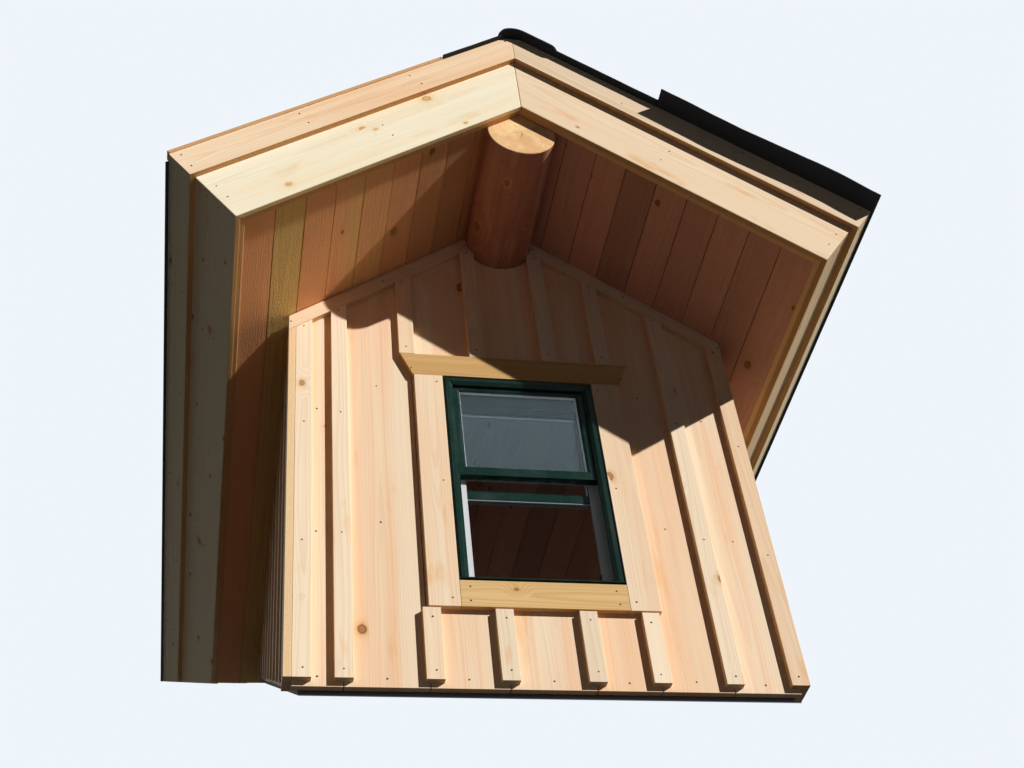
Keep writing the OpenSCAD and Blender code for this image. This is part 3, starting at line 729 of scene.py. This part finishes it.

# Tone, warmth and knots of boards that stand out, in their solids' order. The ceiling tones also paint light
# and shade: high on the left slope's sunlit boards, low and warm on its four shaded boards by the ridge, and
# low on the shaded right slope.
BOARD_TONES = {
    "left_ceiling": [(0.68, 0.8, 0.3), (0.7, 0.0, 0.2), (0.68, 0.7, 0.6), (0.72, 0.6, 0.8), (0.68, 0.6, 0.9),
                     (0.6, 0.75, 0.5), (0.4, 0.95, 0.4), (0.25, 0.9, 0.6), (0.2, 1.0, 0.5), (0.15, 1.0, 0.4)],
    "right_ceiling": [(0.2, 0.9, 0.5), (0.24, 0.8, 0.6), (0.3, 0.9, 0.4), (0.38, 0.8, 0.5),
                      (0.12, 1.0, 0.3), (0.36, 0.8, 0.7), (0.3, 0.85, 0.5), (0.4, 0.75, 0.3),
                      (0.3, 0.95, 0.5), (0.38, 0.8, 0.4)],
    "front_boards": [(0.55, 0.62, 0.4), (0.5, 0.5, 0.5), (0.6, 0.7, 0.3), (0.5, 0.56, 0.5),
                     (0.55, 0.66, 0.4)],
    "left_rake_fascia": [(0.6, 0.25, 0.9)],
    "left_rake_trim": [(0.9, 0.35, 0.0)],
    "left_trim": [(0.6, 0.4, 0.2)],
    "apron_trim": [(0.5, 0.5, 1.0)],
}

# The first node's seed, and boards whose knots and stains come from a seed of their own
FIRST_SEED = 31
SEEDS = {"left_trim": 347, "apron_trim": 449, "left_rake_fascia": 356}

# How far edges are rounded, in millimetres: on most boards, on rounder ones and on the window
BOARD_EASE = 1.2
EASE = {"left_rake_fascia": 3, "right_rake_fascia": 3, "eave_fascias": 2.5, "rim_backing": 4.5,
        "left_ceiling": 1.8, "right_ceiling": 1.8, "window_frame": 0.7, "sashes": 0.6, "panes": 0.2}

# Boards off their plane: their lift at the apex and at the eave in millimetres, and how far they tilt
UNEVEN_JITTER = 0.25
UNEVEN = {
    "left_ceiling": (1.2, 4.4, math.radians(0.15)),
    "right_ceiling": (1, 1, math.radians(0.3)),
    "rim_backing": (-2.8, -2.8, 0),
}


# The peeled log: its points around and along it, its sizes in millimetres, and its tone, warmth and knots
LOG_TURNS = 96
LOG_RINGS = 30
LOG_SWELL = 3.5
LOG_PEELED = 2.2
LOG_GAP = 0.5
LOG_WORN_EDGE = 3
LOG_TONES = (0.5, 0.6, 0.6)


def make_log():
    """The peeled, uneven log, flat under the ceiling boards and sawn along the dormer's seat."""
    low, _ = box_mm("ridge_log")
    axis_z = APEX_Z - LOG_DROP
    solid = bmesh.new()

    def reach(turn, y):
        """How far the log reaches from its axis, less under the ceiling's two slopes."""
        rise = math.cos(turn) + ROOF_TAN * abs(math.sin(turn))
        spot = Vector((math.sin(turn) * 1.4, math.cos(turn) * 1.4, y / 420))
        round_part = LOG_RADIUS - LOG_PEELED + min(LOG_PEELED, noise.noise(spot) * LOG_SWELL)
        return min(round_part, (LOG_DROP - LOG_GAP) / rise) if rise > 0.1 else round_part

    def point(turn, share, inset):
        """A point of the log's side, a share of the way from its front to the seat."""
        radius = reach(turn, low.y + share * 2000) - inset
        x, z = radius * math.sin(turn), axis_z + radius * math.cos(turn)
        front = low.y + (LOG_WORN_EDGE - inset)
        return Vector((x, front + (seat_y(z) - front) * share, z)) * MM

    shares = [(0, LOG_WORN_EDGE), (0, 0)]
    shares += [((step / (LOG_RINGS - 1)) ** 1.15, 0) for step in range(1, LOG_RINGS)]
    loops = [[solid.verts.new(point(math.tau * step / LOG_TURNS, share, inset)) for step in range(LOG_TURNS)]
             for share, inset in shares]
    for first, last in zip(loops, loops[1:]):
        span(solid, first + first[:1], last + last[:1])
    for loop, at in ((loops[0], Vector((0, low.y, axis_z)) * MM),
                     (loops[-1], Vector((0, seat_y(axis_z), axis_z)) * MM)):
        middle = solid.verts.new(at)
        for corners in zip(loop, loop[1:] + loop[:1]):
            solid.faces.new((*corners, middle))
    mesh = finished_mesh(solid, math.radians(40))
    spots = [Vector((corner.co.y, corner.co.x, corner.co.z - axis_z * MM)) for corner in mesh.vertices]
    write_vectors(mesh, "grain", spots)
    write_vectors(mesh, "skin", spots)
    write_vectors(mesh, "board", [LOG_TONES] * len(spots))
    ends = [1.0 if abs(face.normal.y) > 0.5 else 0.0 for face in mesh.polygons]
    write_vectors(mesh, "cut", [(end, 1 - end, 0) for end in ends], "FACE")
    add_piece("ridge_log_peeled", mesh, LOG, ["ridge_log"])


# Window, in millimetres

# The open joint in a mitre
JOINT = 0.3

# Profiles, as insets from the outside and distances behind the face
FRAME_PROFILE = ((0, 20), (0, 7.5), (8, 7.5), (9, 0), (24, 0), (38, 10), (38, 20), (19, 20))
SASH_PROFILE = ((0, 0), (29, 0), (38, 6), (38, 8), (30, 8), (30, 24), (38, 24), (38, 32), (0, 32))
SPACER_PROFILE = ((31, 11.3), (41.5, 11.3), (41.5, 20.7), (31, 20.7))
PARTING_STOP = ((48, 34.8), (48, 39.2))
LINER_BACK = ((36, 74), (36, 84), (0, 84))
RIB_PROFILE = ((0, 0), (1.2, 0.5), (1.2, 1.7), (0, 2.2))

# The frame's box and sill, the bottom rail's extra height, and the panes
FRAME_BOX_T = 19
SILL_H = 14
SILL_SLOPE = 0.12
RAIL_MORE = 7
PANE_INSET = 30.3
PANE_FRONTS = (8.1, 20.9)
PANE_T = 3

# The liners, and the ribs in each of their channels
LINER_T = 8
CHANNELS = ((0, 34), (40, 74))
RIB_COUNT = 6
RIB_START = 4
RIB_PITCH = 5


def bar(solid, first, last):
    """A closed solid between two loops of points, in millimetres."""
    start, stop = ([solid.verts.new(Vector(point) * MM) for point in loop] for loop in (first, last))
    span(solid, start + start[:1], stop + stop[:1])
    solid.faces.new(start[::-1])
    solid.faces.new(stop)


def mitred_sides(solid, low, high, profile, foot):
    """A frame's mitred head and sides, by a profile of insets and y. Foot says where the sides end."""
    bar(solid, [(low.x + inset + JOINT, y, high.z - inset) for inset, y in profile],
        [(high.x - inset - JOINT, y, high.z - inset) for inset, y in profile])
    for edge, way in ((low.x, 1), (high.x, -1)):
        bar(solid, [(edge + way * inset, y, foot(inset, y) + JOINT) for inset, y in profile],
            [(edge + way * inset, y, high.z - inset - JOINT) for inset, y in profile])


def make_window_frame():
    """A flange, a sloping face and a box behind, mitred at the head, on a sloping sill."""
    low, high = box_mm("window_frame")
    face, back = low.y, high.y
    profile = [(inset, face + y) for inset, y in FRAME_PROFILE] + [(FRAME_BOX_T, back), (0, back)]
    flange_w, flange = profile[2]
    solid = bmesh.new()

    def sill_top(_, y):
        return low.z + SILL_H + (y - low.y) * SILL_SLOPE

    mitred_sides(solid, low, high, profile, sill_top)
    sill = [(flange, low.z), (back, low.z), (back, sill_top(0, back)), (face, sill_top(0, face)),
            (face, low.z + flange_w + 1), (flange, low.z + flange_w)]
    bar(solid, [(low.x, y, z) for y, z in sill], [(high.x, y, z) for y, z in sill])
    ease_edges(solid, EASE["window_frame"] * MM)
    add_piece("window_frame_members", finished_mesh(solid), GREEN_PAINT, ["window_frame"])


def make_jamb_liners():
    """Vinyl liners with a parting stop between two ribbed channels."""
    low, high = box_mm("jamb_liners")
    ribbed = []
    for start, stop in CHANNELS:
        ribs = [(LINER_T + rise, start + RIB_START + step * RIB_PITCH + y)
                for step in range(RIB_COUNT) for rise, y in RIB_PROFILE]
        ribbed.append([(LINER_T, start), *ribs, (LINER_T, stop)])
    outline = [(0, 0), *ribbed[0], *PARTING_STOP, *ribbed[1], *LINER_BACK]
    solid = bmesh.new()
    for edge, way in ((low.x, 1), (high.x, -1)):
        bar(solid, *([(edge + way * inset, low.y + y, z) for inset, y in outline] for z in (low.z, high.z)))
    add_piece("jamb_liner_pair", finished_mesh(solid), VINYL, ["jamb_liners"])


def make_sash(name):
    """Mitred stiles and rails with a glazing bead, two panes and the spacer between them."""
    low, high = box_mm(name + "_sash")

    def rail(inset, _):
        return low.z + inset + (RAIL_MORE if inset else 0)

    for profile, piece, finish, slot, replaced in (
            (SASH_PROFILE, "_sash_members", GREEN_PAINT, "window_green", [name + "_sash"]),
            (SPACER_PROFILE, "_sash_spacer", SPACER, None, [])):
        outline = [(inset, low.y + y) for inset, y in profile]
        solid = bmesh.new()
        mitred_sides(solid, low, high, outline, rail)
        bar(solid, [(low.x + inset + JOINT, y, rail(inset, y)) for inset, y in outline],
            [(high.x - inset - JOINT, y, rail(inset, y)) for inset, y in outline])
        ease_edges(solid, EASE["sashes"] * MM)
        add_piece(name + piece, finished_mesh(solid), finish, replaced)
    solid = bmesh.new()
    left, right, head = low.x + PANE_INSET, high.x - PANE_INSET, high.z - PANE_INSET
    foot = low.z + PANE_INSET + RAIL_MORE
    for front in (low.y + y for y in PANE_FRONTS):
        bar(solid, *([(left, y, foot), (right, y, foot), (right, y, head), (left, y, head)]
                     for y in (front, front + PANE_T)))
    ease_edges(solid, EASE["panes"] * MM, 1)
    add_piece(name + "_sash_panes", finished_mesh(solid), GLASS, [name + "_glass"])


def make_weatherstrip():
    """The pale bulb strip along the underside of the raised lower sash."""
    low, high = box_mm("lower_sash")
    solid = bmesh.new()
    half_depth, half_height, end_gap, turns = 2.5, 2, 4, 12
    middle_y, middle_z = low.y + 5, low.z - half_height
    bulb = [(middle_y + half_depth * math.cos(turn), middle_z + half_height * math.sin(turn))
            for turn in (math.tau * step / turns for step in range(turns))]
    bar(solid, *([(x, y, z) for y, z in bulb] for x in (low.x + end_gap, high.x - end_gap)))
    add_piece("lower_sash_weatherstrip", finished_mesh(solid, math.radians(40)), VINYL)


# Roof cover, in millimetres

# Roofing: where the upper course starts under the cap, the lap's step and gap, how far past the rim its
# waves are whole, and their heights, middles and widths
COVERED_S = -242
LAP_STEP = 8
LAP_GAP = 0.3
WAVE_REACH = 90
WAVES = ((12, 1250, 190), (-8, 800, 170))

# Its wrinkles, its flat part at the eave, its ragged front edge, and its fine part behind the rim
WRINKLE_H = 0.9
WRINKLE_LENGTH = 240
FLAT_EAVE = 150
RAGGED = 1.5
NEAR_RIM = 60

# Roofing nails: how far from a slope's ends and from a sheet's edge, and their pitch
ROOFING_NAIL_END = 60
ROOFING_NAIL_EDGE = 22
ROOFING_NAIL_PITCH = 170

# Nail heads: radius, height and the seed of their sizes
FINISH_NAIL = (3.9 * MM, 1.2 * MM, 3)
ROOFING_NAIL = (5 * MM, 2.4 * MM, 4)


def sheet(name, top, bottom, node):
    """Closed sheets of roofing between their top and bottom grids of points, as one piece."""
    solid = bmesh.new()
    for high, low in zip(top, bottom):
        over, under = ([[solid.verts.new(point) for point in row] for row in grid] for grid in (high, low))
        for grid in (over, under):
            for first, last in zip(grid, grid[1:]):
                span(solid, first, last)
        for end in (0, -1):
            span(solid, over[end], under[end])
            span(solid, [row[end] for row in over], [row[end] for row in under])
    add_piece(name, finished_mesh(solid, math.radians(25)), ROOFING, [node])


def stations(low, high, pitch):
    """Even steps from low to high, about a pitch apart."""
    count = max(1, round((high - low) / pitch))
    return [low + (high - low) * step / count for step in range(count + 1)]


def bell(value, middle, width):
    """1 at the middle, falling softly to 0."""
    return math.exp(-((value - middle) / width) ** 2)


def make_roofing(side, node):
    """Two courses of roofing sheet. The free front edge waves where it reaches past the rim."""
    def lift(s, y):
        """How far the sheet rises: in waves on the right, and in wrinkles."""
        free = min(1, max(0, (RIM_Y - y) / WAVE_REACH))
        wave = sum(height * bell(s, middle, width) for height, middle, width in WAVES) * free ** 2
        spot = Vector((s / WRINKLE_LENGTH, y / WRINKLE_LENGTH, side * 7))
        wrinkle = WRINKLE_H * (0.5 + 0.5 * noise.noise(spot))
        return ((wave if side > 0 else 0) + wrinkle) * min(1, (EAVE_S - s) / FLAT_EAVE)

    def front(s, edge):
        """The front edge of a course, not quite straight, and behind the rake strip on the left."""
        if side < 0 and s > STRIP_S:
            return STRIP_Y
        return edge + RAGGED * (1 + noise.noise(Vector((s / 90, side * 3, 2))))

    def course(s_values, low_of, edge):
        """The top and bottom grids of points of one course."""
        grids = []
        for thickness in (ROOFING_T, 0):
            grid = []
            for s in s_values:
                base = low_of(s) + thickness
                start = front(s, edge)
                stop = seat_y(slope_point(side, s, 0, base).z / MM)
                near = RIM_Y + NEAR_RIM
                row = stations(start, near, (near - start) / 7)
                row += stations(near, stop, (stop - near) / 40)[1:]
                grid.append([slope_point(side, s, y, base + lift(s, y)) for y in row])
            grids.append(grid)
        return grids

    split = [STRIP_S - 0.1, STRIP_S + 0.1] if side < 0 else []
    upper_s = sorted(stations(COVERED_S, LAP_S - LAP_STEP, 62) + stations(LAP_S, LAP_S + LAP_W, 25) + split)
    lowest_s = stations(LAP_S + 0.5, EAVE_S, 48)
    lap_lift = ROOFING_T + LAP_GAP
    upper = course(upper_s, lambda s: ROOF_N + (lap_lift if s >= LAP_S else 0), UPPER_FRONT[side])
    lowest = course(lowest_s, lambda s: ROOF_N, LOWEST_FRONT[side])
    sheet(node + "_sheet", [upper[0], lowest[0]], [upper[1], lowest[1]], node)


def make_ridge_cap():
    """The bent cap over the ridge, with round front corners and a slightly uneven crown."""
    step_n = ROOF_N + ROOFING_T
    bend_s = -(step_n - CAP_RADIUS) * ROOF_TAN
    bend_steps, steps = 8, 60

    # From edge to edge: a side and s on a leg, or a turn and None on the bend
    path = []
    for side in (-1, 1):
        leg = [(side, s) for s in stations(bend_s, CAP_ENDS[side], 12)]
        arc = [(side * ROOF_ANGLE * part / bend_steps, None) for part in range(1, bend_steps)]
        path += leg[::-1] + arc[::-1] + [(0, None)] if side < 0 else arc + leg

    def point(at, thickness, share):
        """A point of the cap, a share of the way from its front to the seat."""
        turn, s = at
        if s is None:
            radius = CAP_RADIUS + thickness
            x, z = radius * math.sin(turn), CAP_Z + radius * math.cos(turn)
            front = CAP_FRONT
        else:
            spot = slope_point(turn, s, 0, step_n + thickness) / MM
            x, z = spot.x, spot.z
            inside = min(CAP_CORNER, CAP_ENDS[turn] - s)
            front = CAP_FRONT + CAP_CORNER - math.sqrt(CAP_CORNER ** 2 - (CAP_CORNER - inside) ** 2)
        y = front + (seat_y(z) - front) * share
        sag = 0.9 * (1 + noise.noise(Vector((x / 60, y / 210, 4)))) if s is None else 0
        return Vector((x, y, z - sag)) * MM

    shares = [(step / steps) ** 1.3 for step in range(steps + 1)]
    grids = [[[point(at, thickness, share) for share in shares] for at in path] for thickness in (CAP_T, 0)]
    sheet("ridge_cap_sheet", [grids[0]], [grids[1]], "ridge_cap")


def nail_roofing():
    """Places of nails along each slope's lap and eave and along the cap's right leg."""
    dice = random.Random(5)
    stray_s, stray_y = 3, 9
    front = RIM_Y + ROOFING_NAIL_END
    places = []
    for side in (-1, 1):
        rows = [(LAP_S + LAP_W - ROOFING_NAIL_EDGE, ROOF_N + 2 * ROOFING_T + 1, front),
                (EAVE_S - ROOFING_NAIL_END, ROOF_N + ROOFING_T + 0.6, front)]
        if side > 0:
            rows.append((CAP_ENDS[side] - ROOFING_NAIL_EDGE, ROOF_N + ROOFING_T + CAP_T,
                         CAP_FRONT + ROOFING_NAIL_END))
        for s, n, start in rows:
            stop = seat_y(slope_point(side, s, 0, n).z / MM) - ROOFING_NAIL_END
            for y in stations(start, stop, ROOFING_NAIL_PITCH):
                places.append((slope_point(side, s + dice.uniform(-stray_s, stray_s),
                                           y + dice.uniform(-stray_y, stray_y), n),
                               direction("square", side)))
    return places


def drive_nails(name, places, radius, height, seed):
    """Round nail heads on their places, grown by a node tree and turned into a plain mesh."""
    nails = Nodes(bpy.data.node_groups.new(name, "GeometryNodeTree"))
    sockets = nails.tree.interface
    sizes = {"Head Radius": ("NodeSocketFloat", radius), "Head Height": ("NodeSocketFloat", height),
             "Seed": ("NodeSocketInt", seed), "Steel": ("NodeSocketMaterial", NAIL_STEEL)}
    for way in ("INPUT", "OUTPUT"):
        sockets.new_socket("Geometry", in_out=way, socket_type="NodeSocketGeometry")
    keys = {label: sockets.new_socket(label, in_out="INPUT", socket_type=kind).identifier
            for label, (kind, _) in sizes.items()}
    given = nails.node("NodeGroupInput", out="Geometry")
    wide = given.twin("Head Radius")
    head = nails.node("GeometryNodeMeshCone", None, {
        "Vertices": 12, "Radius Bottom": wide, "Radius Top": wide * 0.82, "Depth": given.twin("Head Height")})
    facing = nails.node("GeometryNodeInputNamedAttribute", {"data_type": "FLOAT_VECTOR"}, {"Name": "facing"})
    turn = nails.node("FunctionNodeAlignRotationToVector", {"axis": "Z"}, {"Vector": facing})
    size = nails.node("FunctionNodeRandomValue", {"data_type": "FLOAT"}, {
        2: 0.88, 3: 1.12, "Seed": given.twin("Seed")}, 1)
    heads = nails.node("GeometryNodeInstanceOnPoints", None, {
        "Points": given, "Instance": head, "Rotation": turn, "Scale": size})
    real = nails.node("GeometryNodeRealizeInstances", None, {"Geometry": heads})
    done = nails.node("GeometryNodeSetMaterial", None, {"Geometry": real, "Material": given.twin("Steel")})
    nails.node("NodeGroupOutput", None, {"Geometry": done})

    mesh = bpy.data.meshes.new(name + "_places")
    mesh.from_pydata([place - facing * height * 0.45 for place, facing in places], [], [])
    write_vectors(mesh, "facing", [facing for _, facing in places])
    maker = add_object(name + "_maker", mesh)
    modifier = maker.modifiers.new("nails", "NODES")
    modifier.node_group = nails.tree
    for label, (_, value) in sizes.items():
        modifier[keys[label]] = value
    grown = bpy.data.meshes.new_from_object(maker.evaluated_get(bpy.context.evaluated_depsgraph_get()))
    maker.modifiers.remove(modifier)
    bpy.data.objects.remove(maker)
    add_piece(name, grown, NAIL_STEEL)


# Camera, studio and the build


def add_camera():
    data = bpy.data.cameras.new("photograph_camera")
    data.sensor_width = SENSOR_WIDTH
    data.lens = FOCAL_PIXELS * SENSOR_WIDTH / FRAME_WIDTH
    camera = add_object("photograph_camera", data)
    turn = (Matrix.Rotation(-CAMERA_HEADING, 4, "Z") @ Matrix.Rotation(math.pi / 2 + CAMERA_TILT, 4, "X")
            @ Matrix.Rotation(CAMERA_ROLL, 4, "Z"))
    camera.matrix_world = Matrix.Translation(CAMERA_PLACE) @ turn
    bpy.context.scene.camera = camera


def add_studio():
    """A pale floor below the camera, a pale surround that fills softly from behind, and one key light."""
    world = bpy.data.worlds.new("studio")
    bpy.context.scene.world = world
    world.use_nodes = True
    nodes = Nodes(world.node_tree)
    way = nodes.node("ShaderNodeTexCoord", out="Generated")
    behind = nodes.smooth(nodes.vector_math("DOT_PRODUCT", way, TO_SKY_FILL, "Value"), *SKY_FILL_SPREAD)
    over_seat = nodes.smooth(nodes.vector_math("DOT_PRODUCT", way, SEAT_NORMAL, "Value"), *SEAT_SPREAD)
    fill = nodes.mix(behind * over_seat, FILL_COLOR, SKY_FILL_COLOR)
    surround = nodes.node("ShaderNodeBackground", None, {
        "Color": nodes.mix(nodes.seen_directly(), fill, BACKGROUND_COLOR)})
    nodes.node("ShaderNodeOutputWorld", None, {"Surface": surround})

    data = bpy.data.lights.new("key_light", "SUN")
    data.energy = KEY_STRENGTH
    data.angle = KEY_ANGLE
    add_object("key_light", data).rotation_euler = TO_KEY_LIGHT.to_track_quat("Z", "Y").to_euler()

    mesh = bpy.data.meshes.new("floor")
    half = FLOOR_SIZE / 2
    mesh.from_pydata([(-half, -half, FLOOR_Z), (half, -half, FLOOR_Z), (half, half, FLOOR_Z),
                      (-half, half, FLOOR_Z)], [], [(0, 1, 2, 3)])
    finish = Finish("pale_floor", Roughness=0.9)
    finish.feed(Base_Color=finish.mix(finish.seen_directly(), FLOOR_SHADE, FLOOR_COLOR))
    finish.clear_from_below()
    mesh.materials.append(finish.material)
    add_object("floor", mesh)


add_camera()
add_studio()

for number, (node, row) in enumerate(LUMBER.items()):
    dress_lumber(node, SEEDS.get(node, FIRST_SEED + number), *row)
make_log()

make_window_frame()
make_jamb_liners()
make_sash("upper")
make_sash("lower")
make_weatherstrip()

make_roofing(-1, "left_roofing")
make_roofing(1, "right_roofing")
make_ridge_cap()
drive_nails("finish_nails", nail_places, *FINISH_NAIL)
drive_nails("roofing_nails", nail_roofing(), *ROOFING_NAIL)

for node, material in (("wall_felt", FELT), ("base_flashing", FLASHING)):
    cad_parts[node].data.materials.clear()
    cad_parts[node].data.materials.append(material)

bpy.context.scene.view_settings.view_transform = "Standard"
